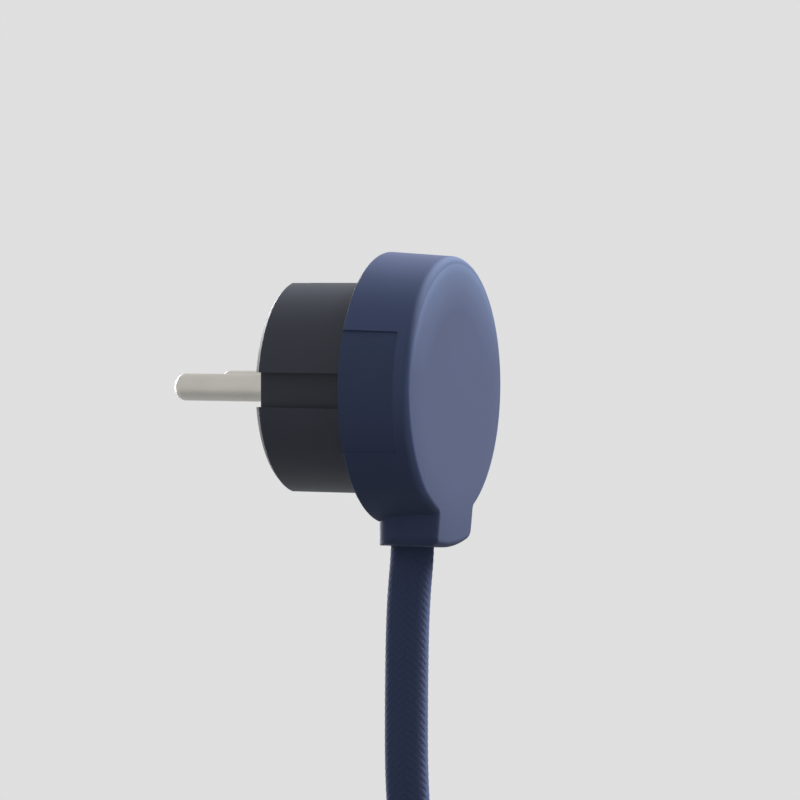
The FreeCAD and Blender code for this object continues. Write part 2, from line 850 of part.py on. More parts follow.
def make_clamp():
    """Saddle that holds the lead's sheath against the insert."""
    body = new_body("cord_clamp")
    half = size.clamp_length / 2
    hump = size.clamp_hump / 2
    arch = clamp_arch
    top_y = cord_y - arch - size.clamp_roof
    section = new_sketch(body, "XY_Plane", -clamp_height - size.clamp_width / 2)
    corners = [
        (-half, clamp_end_y),
        (-hump, clamp_end_y),
        (-hump, top_y),
        (hump, top_y),
        (hump, clamp_end_y),
        (half, clamp_end_y),
        (half, clamp_back_y),
        (arch, clamp_back_y),
        (arch, cord_y),
        (0, cord_y - arch),
        (-arch, cord_y),
        (-arch, clamp_back_y),
        (-half, clamp_back_y),
    ]
    add_outline(section, corners, {8: ("right", arch), 9: ("right", arch)})
    feature(body, "Pad", section, Length=size.clamp_width)
    holes = front_sketch(body, clamp_end_y)
    for side in (1, -1):
        hole = size.clamp_shank_radius + size.part_clearance
        add_circle(holes, size.clamp_screw_across / 2 * side, -clamp_height, hole)
    cut(body, "Pocket", holes, Length=size.clamp_ends)
    round_edges(body, size.clamp_corner, lambda edge: on_clamp_end(edge, half))


def on_clamp_end(edge, half):
    """Whether an edge is an upright corner at one end of the clamp."""
    return runs_along(edge, "y") and near(abs(middle_of(edge).x), half)


def tube_shape(points, radius):
    """A round tube whose path is straight runs joined by tangent arcs, and the arcs' radii."""
    corners = [FreeCAD.Vector(*point) for point in points]
    edges = []
    radii = []
    last = corners[0]
    for before, corner, after in zip(corners, corners[1:], corners[2:]):
        into = (corner - before).normalize()
        out = (after - corner).normalize()
        short = min((corner - before).Length, (after - corner).Length)
        setback = ARC_SHARE * short
        half_turn = into.getAngle(out) / 2
        radii.append(setback / math.tan(half_turn))
        start = corner - into * setback
        end = corner + out * setback
        inward = (out - into).normalize()
        centre_way = radii[-1] / math.cos(half_turn)
        middle = corner + inward * (centre_way - radii[-1])
        edges.append(Part.makeLine(last, start))
        edges.append(Part.Arc(start, middle, end).toShape())
        last = end
    edges.append(Part.makeLine(last, corners[-1]))
    path = Part.Wire(edges)
    along = (corners[1] - corners[0]).normalize()
    section = Part.Wire([Part.Circle(corners[0], along, radius).toShape()])
    tube = path.makePipeShell([section], True, False)
    expected = math.pi * radius**2 * path.Length
    if abs(tube.Volume / expected - 1) > 0.01:
        raise ValueError(f"the tube's volume {tube.Volume:.0f} isn't {expected:.0f}")
    return tube, radii, path.Length


def add_shape(label, shape):
    """A piece whose shape is worked out here."""
    item = document.addObject("Part::Feature", label)
    item.Label = label
    item.Shape = shape
    solids[label] = item
    return item


def add_rod(label, radius, length, place, turn=None):
    """A round rod along Z from its place, or along X where it is turned."""
    rod = document.addObject("Part::Cylinder", label)
    rod.Label = label
    if turn:
        rod.Placement = FreeCAD.Placement(FreeCAD.Vector(), FreeCAD.Rotation(FreeCAD.Vector(0, 1, 0), turn))
    rod.setExpression("Radius", radius.formula)
    rod.setExpression("Height", length.formula)
    for axis, value in zip("xyz", place):
        if isinstance(value, Size):
            rod.setExpression(f"Placement.Base.{axis}", value.formula)
    solids[label] = rod


def make_wiring():
    """The lead's sheath inside the plug, its three cores and their ferrules."""
    sheath_length = tab_reach - size.cord_sink - size.sheath_top
    add_rod("cord_sheath", size.sheath_radius, sheath_length, (0, cord_y, size.cord_sink - tab_reach))

    radius = plain(size.core_radius)
    top = -plain(size.sheath_top)
    side_x = plain(size.core_pitch) * math.cos(math.radians(30))
    front = plain(cord_y) - plain(size.core_pitch) / 2
    back = plain(cord_y) + plain(size.core_pitch)
    level = plain(wire_y)
    entry = plain(size.pin_pitch / 2 - size.block_side / 2 - size.ferrule_collar)
    bend_x = plain(size.core_bend_across)
    bend_z = plain(size.core_bend_drop)
    for label, side in (("line", -1), ("neutral", 1)):
        route = [
            (side_x * side, front, top),
            (side_x * side, front, -bend_z),
            (bend_x * side, level, 0.0),
            (entry * side, level, 0.0),
        ]
        add_shape(label + "_core", tube_shape(route, radius)[0])
        place = (size.pin_pitch / 2 * side - (size.block_side / 2 + size.ferrule_collar) * side, wire_y, 0)
        add_rod(label + "_ferrule", size.ferrule_radius, size.ferrule_reach, place, 90 * side)
    earth_entry = size.earth_hole_height - size.earth_block_side / 2 - size.ferrule_collar
    route = [
        (0.0, back, top),
        (0.0, back, -bend_z),
        (0.0, level, plain(earth_entry) - bend_z),
        (0.0, level, plain(earth_entry)),
    ]
    add_shape("earth_core", tube_shape(route, radius)[0])
    add_rod("earth_ferrule", size.ferrule_radius, size.ferrule_reach, (0, wire_y, earth_entry))


def make_lead():
    """The lead outside the plug: the hanging stretch, its coil, the coil's tie and the free end."""
    radius = plain(size.cord_radius)
    body = new_body("cord_coil", z=-size.coil_drop)
    back = CORD_ROUTE[-1][1] + radius
    front = TAIL_ROUTE[0][1] - radius
    inner = size.coil_inner_turn - size.cord_radius
    outer = size.coil_outer_turn + size.cord_radius
    edge = size.coil_edge
    coil = new_sketch(body, "XY_Plane")
    add_rounded(coil, inner, front, outer, back, edge)
    feature(body, "Revolution", coil, ReferenceAxis=(coil, ["V_Axis"]), Angle=360.0)

    tie = new_body("coil_tie", z=-size.coil_drop)
    turn = FreeCAD.Rotation(FreeCAD.Vector(0, 1, 0), -plain(size.tie_angle))
    tie.Placement = FreeCAD.Placement(FreeCAD.Vector(0, 0, -plain(size.coil_drop)), turn)
    gap = plain(size.case_clearance)
    loop = new_sketch(tie, "XY_Plane")
    add_rounded(loop, inner - gap, front - gap, outer + gap, back + gap, edge)
    wide = size.tie_thick + gap
    add_rounded(loop, inner - wide, -wide + front, outer + wide, wide + back, edge + size.tie_thick)
    feature(tie, "Revolution", loop, ReferenceAxis=(loop, ["V_Axis"]), Angle=size.tie_sweep, Midplane=True)

    document.recompute()
    ring = body.Shape
    for label, route in (("cord", CORD_ROUTE), ("cord_tail", TAIL_ROUTE)):
        tube, radii, length = tube_shape(route, radius)
        add_shape(label, tube.cut(ring).Solids[0])
        print(label, f"{length:.1f} mm, radii", [round(r, 1) for r in radii])


def add_rounded(sketch, left, low, right, high, radius):
    """A rounded rectangle in the sketch."""
    corners = [
        (radius + left, low),
        (-radius + right, low),
        (right, radius + low),
        (right, -radius + high),
        (-radius + right, high),
        (radius + left, high),
        (left, -radius + high),
        (left, radius + low),
    ]
    add_outline(sketch, corners, {n: ("left", radius) for n in (1, 3, 5, 7)})


def make_connector():
    """Moulded connector at the free end: ribbed strain relief, grip and the nose with its three contacts."""
    ground = FreeCAD.Placement(FreeCAD.Vector(*TAIL_ROUTE[-1]), FreeCAD.Rotation())
    body = new_body("connector_body")
    body.Placement = ground
    length = size.taper_length
    slope = (size.taper_start_radius - size.taper_end_radius) / length
    half_ring = size.taper_ring / 2
    taper = new_sketch(body, "XZ_Plane")
    corners = [(0, 0), (size.taper_end_radius, 0)]
    for number in range(1, TAPER_RINGS + 1):
        middle = -(length * (number / (TAPER_RINGS + 1)))
        high, low = middle + half_ring, middle - half_ring
        high_radius = size.taper_end_radius - slope * high
        low_radius = size.taper_end_radius - slope * low
        depth = size.taper_ring_depth
        corners += [(high_radius, high), (high_radius - depth, high)]
        corners += [(low_radius - depth, low), (low_radius, low)]
    corners += [(size.taper_start_radius, -length), (0, -length)]
    add_outline(taper, corners)
    feature(body, "Revolution", taper, ReferenceAxis=(taper, ["V_Axis"]), Angle=360.0)

    wide = size.grip_width / 2
    thick = size.grip_thick / 2
    neck = size.neck_side / 2
    shoulder = new_sketch(body, "XY_Plane", size.taper_lap - length)
    add_rounded(shoulder, -neck, -neck, neck, neck, size.grip_round)
    flare_z = -(length + size.grip_flare)
    full = new_sketch(body, "XY_Plane", flare_z)
    add_rounded(full, -wide, -thick, wide, thick, size.grip_round)
    loft = body.newObject("PartDesign::AdditiveLoft", "connector_shoulder")
    loft.Profile = shoulder
    loft.Sections = [full]
    loft.Ruled = True
    straight = new_sketch(body, "XY_Plane", flare_z)
    add_rounded(straight, -wide, -thick, wide, thick, size.grip_round)
    feature(body, "Pad", straight, Length=size.grip_length - size.grip_flare, Reversed=True)
    face_z = -(length + size.grip_length)
    round_edges(body, size.grip_edge, lambda edge: near(middle_of(edge).z, face_z))
    socket = new_sketch(body, "XY_Plane", face_z)
    gap = size.part_clearance
    root_wide = size.root_width / 2 + gap
    root_thick = size.root_depth / 2 + gap
    add_rectangle(socket, -root_wide, -root_thick, root_wide, root_thick)
    cut(body, "Pocket", socket, Length=size.root_length + gap, Reversed=True)

    make_nose(ground, face_z)


def make_nose(ground, face_z):
    """The connector's nose with two bevelled corners, and the contacts behind its three slots."""
    body = new_body("connector_nose")
    body.Placement = ground
    wide = size.nose_width / 2
    thick = size.nose_depth / 2
    bevel = size.nose_chamfer
    outline = new_sketch(body, "XY_Plane", face_z)
    corners = [
        (bevel - wide, -thick),
        (wide - bevel, -thick),
        (wide, bevel - thick),
        (wide, thick),
        (-wide, thick),
        (-wide, bevel - thick),
    ]
    add_outline(outline, corners)
    feature(body, "Pad", outline, Length=size.nose_length, Reversed=True)
    tip_z = face_z - size.nose_length
    round_edges(body, size.nose_edge, lambda edge: near(middle_of(edge).z, tip_z))
    root_sketch = new_sketch(body, "XY_Plane", face_z)
    root_wide = size.root_width / 2
    root_thick = size.root_depth / 2
    add_rectangle(root_sketch, -root_wide, -root_thick, root_wide, root_thick)
    feature(body, "Pad", root_sketch, Length=size.root_length)

    offset = size.contact_offset / 2
    places = {
        "line": (-(size.contact_pitch / 2), offset),
        "neutral": (size.contact_pitch / 2, offset),
        "earth": (0, -offset),
    }
    slots = new_sketch(body, "XY_Plane", tip_z)
    rooms = new_sketch(body, "XY_Plane", face_z + size.root_length)
    for x, y in places.values():
        add_box(slots, x, y, size.contact_slot_wide, size.contact_slot_long)
        room = size.contact_wall + size.part_clearance
        add_box(rooms, x, y, size.contact_slot_wide + room * 2, size.contact_slot_long + room * 2)
    cut(body, "Pocket", slots, Length=size.contact_sink + 1.0, Reversed=True)
    cut(body, "Pocket", rooms, Length=size.root_length + size.nose_length - size.contact_sink)

    for label, (x, y) in places.items():
        contact = new_body(f"connector_{label}_contact")
        contact.Placement = ground
        outer = new_sketch(contact, "XY_Plane", tip_z + size.contact_sink)
        add_box(outer, x, y, size.contact_slot_wide, size.contact_slot_long)
        wall = size.contact_wall * 2
        add_box(outer, x, y, size.contact_slot_wide + wall, size.contact_slot_long + wall)
        feature(contact, "Pad", outer, Length=size.contact_length)


def add_box(sketch, x, y, wide, tall):
    """A rectangle of the given size about its middle."""
    left, right = wide / -2 + x, wide / 2 + x
    add_rectangle(sketch, left, tall / -2 + y, right, tall / 2 + y)


def check_and_write():
    """Stop at any object that failed, then write each piece to its own file."""
    document.recompute()
    for item in document.Objects:
        bad = [word for word in item.State if word in ("Invalid", "Error")]
        if bad:
            raise ValueError(f"{item.Label} is {bad}")
    os.makedirs("parts", exist_ok=True)
    for label, item in solids.items():
        shape = item.Shape
        if shape.isNull() or not shape.isValid() or not shape.Solids:
            raise ValueError(f"{label} has no valid solid")
        shape.exportStep(f"parts/{label}.step")
        print(label, len(shape.Solids), f"{shape.Volume:.1f} mm3")


def main():
    """Build the document, check it and write each piece."""
    make_sheet()
    make_cover()
    make_insert()
    make_earth_strip()
    make_earth_sleeve()
    make_earth_block()
    make_pin("line_pin", -1)
    make_pin("neutral_pin", 1)
    make_screws()
    make_clamp()
    make_wiring()
    make_lead()
    make_connector()
    check_and_write()


main()
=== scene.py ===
"""Finishes, braided lead, stage and camera for the flat low profile plug."""

import math

import bmesh
import bpy
from mathutils import Matrix, Vector


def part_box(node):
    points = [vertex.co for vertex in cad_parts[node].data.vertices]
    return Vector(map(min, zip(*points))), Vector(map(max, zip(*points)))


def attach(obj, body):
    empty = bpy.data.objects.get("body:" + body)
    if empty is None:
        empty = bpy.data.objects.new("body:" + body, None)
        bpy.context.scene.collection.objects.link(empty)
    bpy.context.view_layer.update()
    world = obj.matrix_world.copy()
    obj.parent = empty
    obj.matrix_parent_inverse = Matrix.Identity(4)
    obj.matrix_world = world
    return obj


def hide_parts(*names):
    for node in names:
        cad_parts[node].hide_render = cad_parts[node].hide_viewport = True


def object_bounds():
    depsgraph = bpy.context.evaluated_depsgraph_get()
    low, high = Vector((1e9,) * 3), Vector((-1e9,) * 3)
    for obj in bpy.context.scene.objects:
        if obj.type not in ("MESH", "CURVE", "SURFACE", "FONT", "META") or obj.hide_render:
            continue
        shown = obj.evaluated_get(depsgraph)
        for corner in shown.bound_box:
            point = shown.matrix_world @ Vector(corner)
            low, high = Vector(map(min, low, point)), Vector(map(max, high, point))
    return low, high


bl_info = {
    "name": "Flat plug",
    "version": (1, 0, 0),
    "blender": (4, 5, 0),
    "location": "View3D > Sidebar > Flat plug",
    "description": "Dresses the flat plug, its braided lead and its connector",
    "category": "Object",
}

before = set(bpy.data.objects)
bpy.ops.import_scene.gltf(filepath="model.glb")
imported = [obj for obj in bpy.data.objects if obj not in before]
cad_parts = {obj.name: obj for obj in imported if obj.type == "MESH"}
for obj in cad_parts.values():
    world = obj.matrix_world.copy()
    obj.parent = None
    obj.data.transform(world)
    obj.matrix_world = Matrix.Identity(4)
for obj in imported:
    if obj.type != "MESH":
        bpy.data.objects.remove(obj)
cad_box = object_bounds()
coil_low, coil_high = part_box("cord_coil")

# The lead's route in metres: from inside the tab to the coil, and from the coil to the connector
CORD_ROUTE = [
    (0.0, -0.0220, -0.0216),
    (0.0, -0.0220, -0.0278),
    (-0.0005, -0.0212, -0.0380),
    (-0.0008, -0.02103, -0.0530),
    (-0.0008, -0.02105, -0.0700),
    (0.0022, -0.02105, -0.0817),
    (0.0079, -0.02105, -0.0926),
    (0.0152, -0.02105, -0.1021),
    (0.0244, -0.02105, -0.1098),
]
TAIL_ROUTE = [
    (0.0533, -0.02845, -0.1700),
    (0.0530, -0.02845, -0.1820),
    (0.0530, -0.02845, -0.1930),
]

# The coil's first angle, its turns in each of its two layers, the points to a turn, and the steps
# in which the lead crosses from the back layer to the front one
COIL_START = math.radians(50.0)
COIL_TURNS = 3
COIL_STEPS = 14
CROSSING_STEPS = 4

# The lead's rings: close enough for its yarns down to this length, and wider after it
SEEN_LENGTH = 0.082
SEEN_SPACING = 0.00026
COIL_SPACING = 0.0012
RING_SIDES = 32

# The braid: yarns pass over and under in pairs, and a yarn rises by this share where it rides over
# another. The threads are those of one yarn, and the depth is that of its bump in metres.
PAIR = 2
RIDE = 0.25
YARN_THREADS = 4.0
YARN_DEPTH = 0.00013

# Waves to the metre of moulded grain and of textile fibre, the grain's depth in metres, and the
# strap's weave in radians to the metre
GRAIN = 2600.0
GRAIN_DEPTH = 0.00002
FIBRE = 5200.0
STRAP_WEAVE = 9000.0

# Stretch of the lines in plating: drawn along Y, or turned round Z
DRAWN = (900.0, 30.0, 900.0)
TURNED = (30.0, 30.0, 900.0)

# The cover's grips: half their angle, and the Y where they start behind the face. Its tones lie in
# bands by radius, up to just past its rim, and by depth, up to just past its face.
GRIP_HALF = math.radians(26.25)
GRIP_FRONT = -0.0274
RIM_REACH = 0.025
FACE_REACH = -1 / 30

# The gap between the part's lowest point and the floor, and the Y of the floor's middle
FLOOR_GAP = 0.0075
FLOOR_MIDDLE = -0.02

# The world's light from straight above and from straight below
LIGHT_ABOVE = 0.39
LIGHT_BELOW = 0.06

# The camera's sensor in millimetres. The picture's middle lies to the left of the cover's middle,
# and lower.
SENSOR_WIDTH = 36.0
COVER_MIDDLE = Vector((0.0, -0.0235, 0.0))
AIM_LEFT = 0.0037
AIM_DOWN = 0.00206


# Shader maths


class Value:
    """A shader socket. Python's operators on it add Math nodes."""

    def __init__(self, shader, socket):
        self.shader = shader
        self.socket = socket

    def maths(self, operation, *inputs):
        return self.shader.maths(operation, *inputs)

    def __add__(self, other):
        return self.maths("ADD", self, other)

    __radd__ = __add__

    def __sub__(self, other):
        return self.maths("SUBTRACT", self, other)

    def __rsub__(self, other):
        return self.maths("SUBTRACT", other, self)

    def __mul__(self, other):
        return self.maths("MULTIPLY", self, other)

    __rmul__ = __mul__

    def __truediv__(self, other):
        return self.maths("DIVIDE", self, other)

    def __mod__(self, other):
        return self.maths("FLOORED_MODULO", self, other)


class Nodes:
    """A node tree whose nodes are added by one method."""

    def __init__(self, tree):
        self.tree = tree

    def connect(self, socket, value):
        """Link a value to a socket, or set the socket."""
        if isinstance(value, Value):
            self.tree.links.new(value.socket, socket)
        else:
            socket.default_value = value

    def node(self, kind, settings=None, inputs=None, output=0):
        """Add a node, make its settings, then its inputs, and give one of its outputs."""
        node = self.tree.nodes.new("ShaderNode" + kind)
        for name, value in (settings or {}).items():
            if name == "stops":
                ramp = node.color_ramp
                while len(ramp.elements) < len(value):
                    ramp.elements.new(1.0)
                for element, (place, grey) in zip(ramp.elements, value):
                    element.position = place
                    element.color = (grey, grey, grey, 1.0)
            else:
                setattr(node, name, value)
        for name, value in (inputs or {}).items():
            self.connect(node.inputs[name], value)
        return Value(self, node.outputs[output])

    def maths(self, operation, *inputs):
        """A Math node on up to three inputs."""
        return self.node("Math", {"operation": operation}, dict(enumerate(inputs)))

    def mix(self, mask, low, high):
        """Blend two colours by a mask."""
        # The sockets of a colour mix: 0 is the factor, 6 and 7 the colours, output 2 the result
        return self.node("Mix", {"data_type": "RGBA"}, {0: mask, 6: low, 7: high}, output=2)

    def blend(self, mask, low, high):
        """Blend two surfaces by a mask."""
        return self.node("MixShader", inputs={0: mask, 1: low, 2: high})

    def part(self, vector, axis):
        """One part of a vector: 0 for X, 1 for Y, 2 for Z."""
        return self.node("SeparateXYZ", inputs={"Vector": vector}, output=axis)

    def place(self):
        """Object coordinates, in metres."""
        return self.node("TexCoord", output="Object")

    def axes(self):
        """X, Y and Z of the object coordinates."""
        where = self.place()
        return [self.part(where, axis) for axis in range(3)]

    def background_rays(self):
        """1 for a ray that shows the background: to the camera, in a reflection or through glass."""
        camera = self.node("LightPath", output="Is Camera Ray")
        glossy = self.node("LightPath", output="Is Glossy Ray")
        through = self.node("LightPath", output="Is Transmission Ray")
        return self.maths("MAXIMUM", self.maths("MAXIMUM", camera, glossy), through)

    def noise(self, scale, detail, where=None):
        """Noise with so many waves to the metre."""
        inputs = {"Vector": where or self.place(), "Scale": scale, "Detail": detail}
        return self.node("TexNoise", inputs=inputs)

    def ramp(self, value, *stops):
        """Greys at stops between 0 and 1."""
        return self.node("ValToRGB", {"stops": stops}, {"Fac": value})

    def band(self, value, reach, *stops):
        """Greys at stops between 0 and a reach, which may be negative, in metres."""
        return self.ramp(value / reach, *[(place / reach, grey) for place, grey in stops])


class Shader(Nodes):
    """A material with one surface."""

    def __init__(self, name, colour, roughness, **settings):
        self.material = bpy.data.materials.new(name)
        self.material.use_nodes = True
        self.material.diffuse_color = (*colour[:3], 1.0)
        super().__init__(self.material.node_tree)
        self.surface = self.tree.nodes["Principled BSDF"]
        self.give("Base Color", (*colour[:3], 1.0))
        self.give("Roughness", roughness)
        for socket, value in settings.items():
            self.give(socket.replace("_", " "), value)

    def give(self, socket, value):
        """Set or feed one input of the surface."""
        self.connect(self.surface.inputs[socket], value)

    def whole(self):
        """The surface, to blend with another."""
        return Value(self, self.surface.outputs[0])

    def bump(self, height, depth, strength):
        """Raise the surface by a height between 0 and 1 times the depth in metres."""
        inputs = {"Height": height, "Distance": depth, "Strength": strength}
        self.give("Normal", self.node("Bump", inputs=inputs))


# Finishes


def shade(colour, factor):
    """A lighter or darker tone of a colour."""
    return (*[min(1.0, part * factor) for part in colour[:3]], 1.0)


def moulded(name, colour, roughness, grain=GRAIN, depth=GRAIN_DEPTH):
    """Moulded plastic with a fine spark-eroded grain and slight changes of tone."""
    made = Shader(name, colour, roughness)
    fine = made.noise(grain, 2.0)
    broad = made.noise(45.0, 3.0)
    made.give("Base Color", made.mix(broad, shade(colour, 0.93), shade(colour, 1.07)))
    made.give("Roughness", roughness - 0.05 + broad * 0.06 + fine * 0.06)
    made.bump(fine, depth, 0.6)
    return made.material


def metal(name, colour, roughness, lines=TURNED):
    """Plated or bare metal with faint lines and a cloudy tone."""
    made = Shader(name, colour, roughness, Metallic=1.0)
    stretch = made.node("Mapping", inputs={"Vector": made.place(), "Scale": lines})
    streak = made.noise(6.0, 4.0, stretch)
    cloud = made.noise(160.0, 3.0)
    made.give("Base Color", made.mix(cloud, shade(colour, 0.86), shade(colour, 1.06)))
    made.give("Roughness", roughness + streak * 0.14 + cloud * 0.08)
    made.bump(streak, 0.000012, 0.5)
    return made.material


def braid(colour, pitch, yarns):
    """Braided textile: two families of yarns that pass over and under each other in pairs."""
    made = Shader(
        "braid", colour, 0.78, Sheen_Weight=0.28, Sheen_Roughness=0.45,
        Sheen_Tint=shade(colour, 3.5), Specular_IOR_Level=0.15,
    )
    where = made.node("TexCoord", output="UV")
    lean = made.part(where, 0) / pitch
    turn = made.part(where, 1) * yarns
    right = turn + lean
    left = turn - lean
    cells = made.maths("FLOOR", right) + made.maths("FLOOR", left)
    over = made.maths("LESS_THAN", cells % (PAIR * 2.0), PAIR - 0.5)
    top = left + (right - left) * over
    under = right + (left - right) * over
    hump = made.maths("SINE", (top % 1.0) * math.pi)
    ride = made.maths("SINE", (under % 1.0) * math.pi)
    threads = made.maths("SINE", (top % 1.0) * (math.tau * YARN_THREADS))
    height = made.maths("SQRT", made.maths("MAXIMUM", hump, 0.0)) * (ride * RIDE + (1.0 - RIDE))
    fibre = made.noise(FIBRE, 3.0)
    cloud = made.noise(120.0, 3.0)
    # Painted shade: the dips between yarns are painted darker than the yarns' tops
    base = made.mix(made.ramp(height, (0.1, 0.0), (0.6, 1.0)), shade(colour, 0.90), shade(colour, 1.0))
    made.give("Base Color", made.mix(cloud * 0.4, base, shade(colour, 1.15)))
    made.give("Roughness", fibre * 0.15 + 0.7)
    made.bump(height + threads * 0.08 + fibre * 0.2, YARN_DEPTH, 0.6)
    return made.material


def strap_weave(colour):
    """Woven strap: crossed threads with loose fibres."""
    made = Shader("strap_weave", colour, 0.85)
    x, y, z = made.axes()
    warp = made.maths("SINE", (x + z) * STRAP_WEAVE)
    weft = made.maths("SINE", (y + (z - x) * 0.5) * STRAP_WEAVE)
    weave = warp * weft * 0.4 + 0.5
    fibre = made.noise(FIBRE, 2.0)
    made.give("Base Color", made.mix(weave, shade(colour, 0.8), shade(colour, 1.2)))
    made.give("Roughness", fibre * 0.2 + 0.75)
    made.bump(weave + fibre * 0.3, 0.00015, 0.7)
    return made.material


def soft_touch(skin, border_highlight, edge_highlight):
    """The cover's soft skin, with painted light: paler towards the face's rim and on the flank round
    the grips.
    """
    roughness = 0.58
    made = Shader(
        "soft_touch", skin, roughness, Sheen_Weight=0.02, Sheen_Roughness=0.5,
        Specular_IOR_Level=0.15,
    )
    x, y, z = made.axes()
    out = made.maths("SQRT", x * x + z * z)
    height = z / out
    level = height * 0.5 + 0.5

    # By the distance from the disc's middle: the face's border and its rounded edge
    fading = ((0.0135, 0.0), (0.02, 0.5), (0.02155, 1.0), (0.022125, 0.0))
    border = made.band(out, RIM_REACH, *fading)
    edge = made.band(out, RIM_REACH, (0.0217, 0.0), (0.0221, 1.0))

    # By the height on the disc, whose level is 0 at the bottom and 1 at the top
    upper = made.ramp(height, (0.15, 0.0), (0.9, 1.0))
    lower = made.ramp(level, (0.07, 0.0), (0.12, 1.0), (0.5, 1.0), (0.75, 0.0))
    flank = made.ramp(level, (0.3, 0.0), (0.5, 1.0), (0.75, 1.0), (0.9, 0.0))

    # By the depth: the face, and what lies as far back as the grips
    face = made.band(y, FACE_REACH, (-0.028833, 0.0), (-0.029667, 1.0))
    beside = made.maths("LESS_THAN", made.maths("ABSOLUTE", height), math.sin(GRIP_HALF))
    grip = beside * made.maths("GREATER_THAN", y, GRIP_FRONT)

    fine = made.noise(GRAIN, 2.0)
    broad = made.noise(60.0, 4.0)
    base = made.mix(broad, shade(skin, 0.93), shade(skin, 1.07))
    # Painted highlight: the upper border of the face is painted paler, where light from above falls
    base = made.mix(border * upper * face, base, shade(border_highlight, 1.0))
    # Painted highlight: the upper rounded edge of the face is painted in a paler tone
    base = made.mix(edge * upper * face, base, shade(edge_highlight, 1.0))
    # Painted light: the lower rounded edge of the face is painted paler than the skin
    base = made.mix(edge * lower * face, base, shade(skin, 1.8))
    # Painted light: the flank outside the grips is painted paler at mid height, so the grip recesses
    # read as shaded
    base = made.mix((1.0 - face) * (1.0 - grip) * flank, base, shade(skin, 1.3))
    made.give("Base Color", base)
    worn = edge * face * (upper + lower)
    made.give("Roughness", broad * 0.06 + fine * 0.06 + worn * 0.2 + (roughness - 0.05))
    made.bump(fine, GRAIN_DEPTH, 0.6)
    return made.material


def earth_stripes(green, yellow):
    """Insulation of the earth core, green on one side and yellow on the other."""
    made = Shader("earth_core", green, 0.42)
    side = made.maths("GREATER_THAN", made.part(made.place(), 0), 0.0)
    made.give("Base Color", made.mix(side, shade(green, 1.0), shade(yellow, 1.0)))
    made.bump(made.noise(GRAIN, 2.0), GRAIN_DEPTH, 0.5)
    return made.material


def repaint(nodes, material):
    """Give CAD nodes one finish."""
    for name in nodes:
        node = bpy.data.objects[name]
        for slot in node.material_slots:
            slot.material = material
        if not node.material_slots:
            node.data.materials.append(material)


# Settings


def colour_setting(name, description, default):
    """A colour that a user may change."""
    return bpy.props.FloatVectorProperty(
        name=name, description=description, subtype="COLOR", size=3, min=0.0, max=1.0,
        default=default,
    )


def length_setting(name, description, default):
    """A length that a user may change."""
    return bpy.props.FloatProperty(
        name=name, description=description, unit="LENGTH", default=default, min=0.0,
        precision=5,
    )


def angle_setting(name, description, degrees):
    """An angle that a user may change."""
    return bpy.props.FloatProperty(
        name=name, description=description, subtype="ANGLE", default=math.radians(degrees)
    )


class FlatPlugColours(bpy.types.PropertyGroup):
    """Colours of the plug, its lead and the stage."""

    cover: colour_setting("Cover", "Soft-touch front cover", (0.100, 0.124, 0.235))
    # Border and Edge are painted highlight: paler tones painted on the upper part of the cover's face
    border: colour_setting("Border", "Upper border of the cover's face", (0.215, 0.285, 0.480))
    edge: colour_setting("Edge", "Rounded upper edge of the cover's face", (0.150, 0.197, 0.345))
    lead: colour_setting("Lead", "Yarns of the braided lead", (0.100, 0.124, 0.235))
    strap: colour_setting("Strap", "Woven strap round the coil", (0.020, 0.022, 0.030))
    carrier: colour_setting("Carrier", "Contact carrier behind the cover", (0.035, 0.040, 0.062))
    connector: colour_setting("Connector", "Connector's body and nose", (0.040, 0.046, 0.075))
    plating: colour_setting("Plating", "Nickel on pins and earth parts", (0.66, 0.63, 0.58))
    zinc: colour_setting("Zinc", "Zinc plating of the screws", (0.50, 0.51, 0.53))
    brass: colour_setting("Brass", "Bare brass of the connector's contacts", (0.72, 0.52, 0.24))
    tin: colour_setting("Tin", "Tin plating of the ferrules", (0.62, 0.60, 0.56))
    sheath: colour_setting("Sheath", "Rubber sheath inside the plug", (0.016, 0.017, 0.020))
    line_core: colour_setting("Line core", "Brown insulation", (0.10, 0.036, 0.016))
    neutral_core: colour_setting("Neutral core", "Blue insulation", (0.016, 0.09, 0.35))
    earth_green: colour_setting("Earth green", "Green side of the earth core", (0.02, 0.17, 0.04))
    earth_yellow: colour_setting("Earth yellow", "Its yellow side", (0.75, 0.62, 0.02))
    floor: colour_setting("Floor", "Floor, as the camera sees it", (0.38, 0.38, 0.38))
    bounce: colour_setting("Bounce", "Floor, as light falls on it", (0.06, 0.06, 0.06))
    backdrop: colour_setting("Backdrop", "Background, as the camera sees it", (0.74, 0.74, 0.74))
    sky: colour_setting("Sky", "Tint of the world's light", (0.84, 0.95, 1.0))


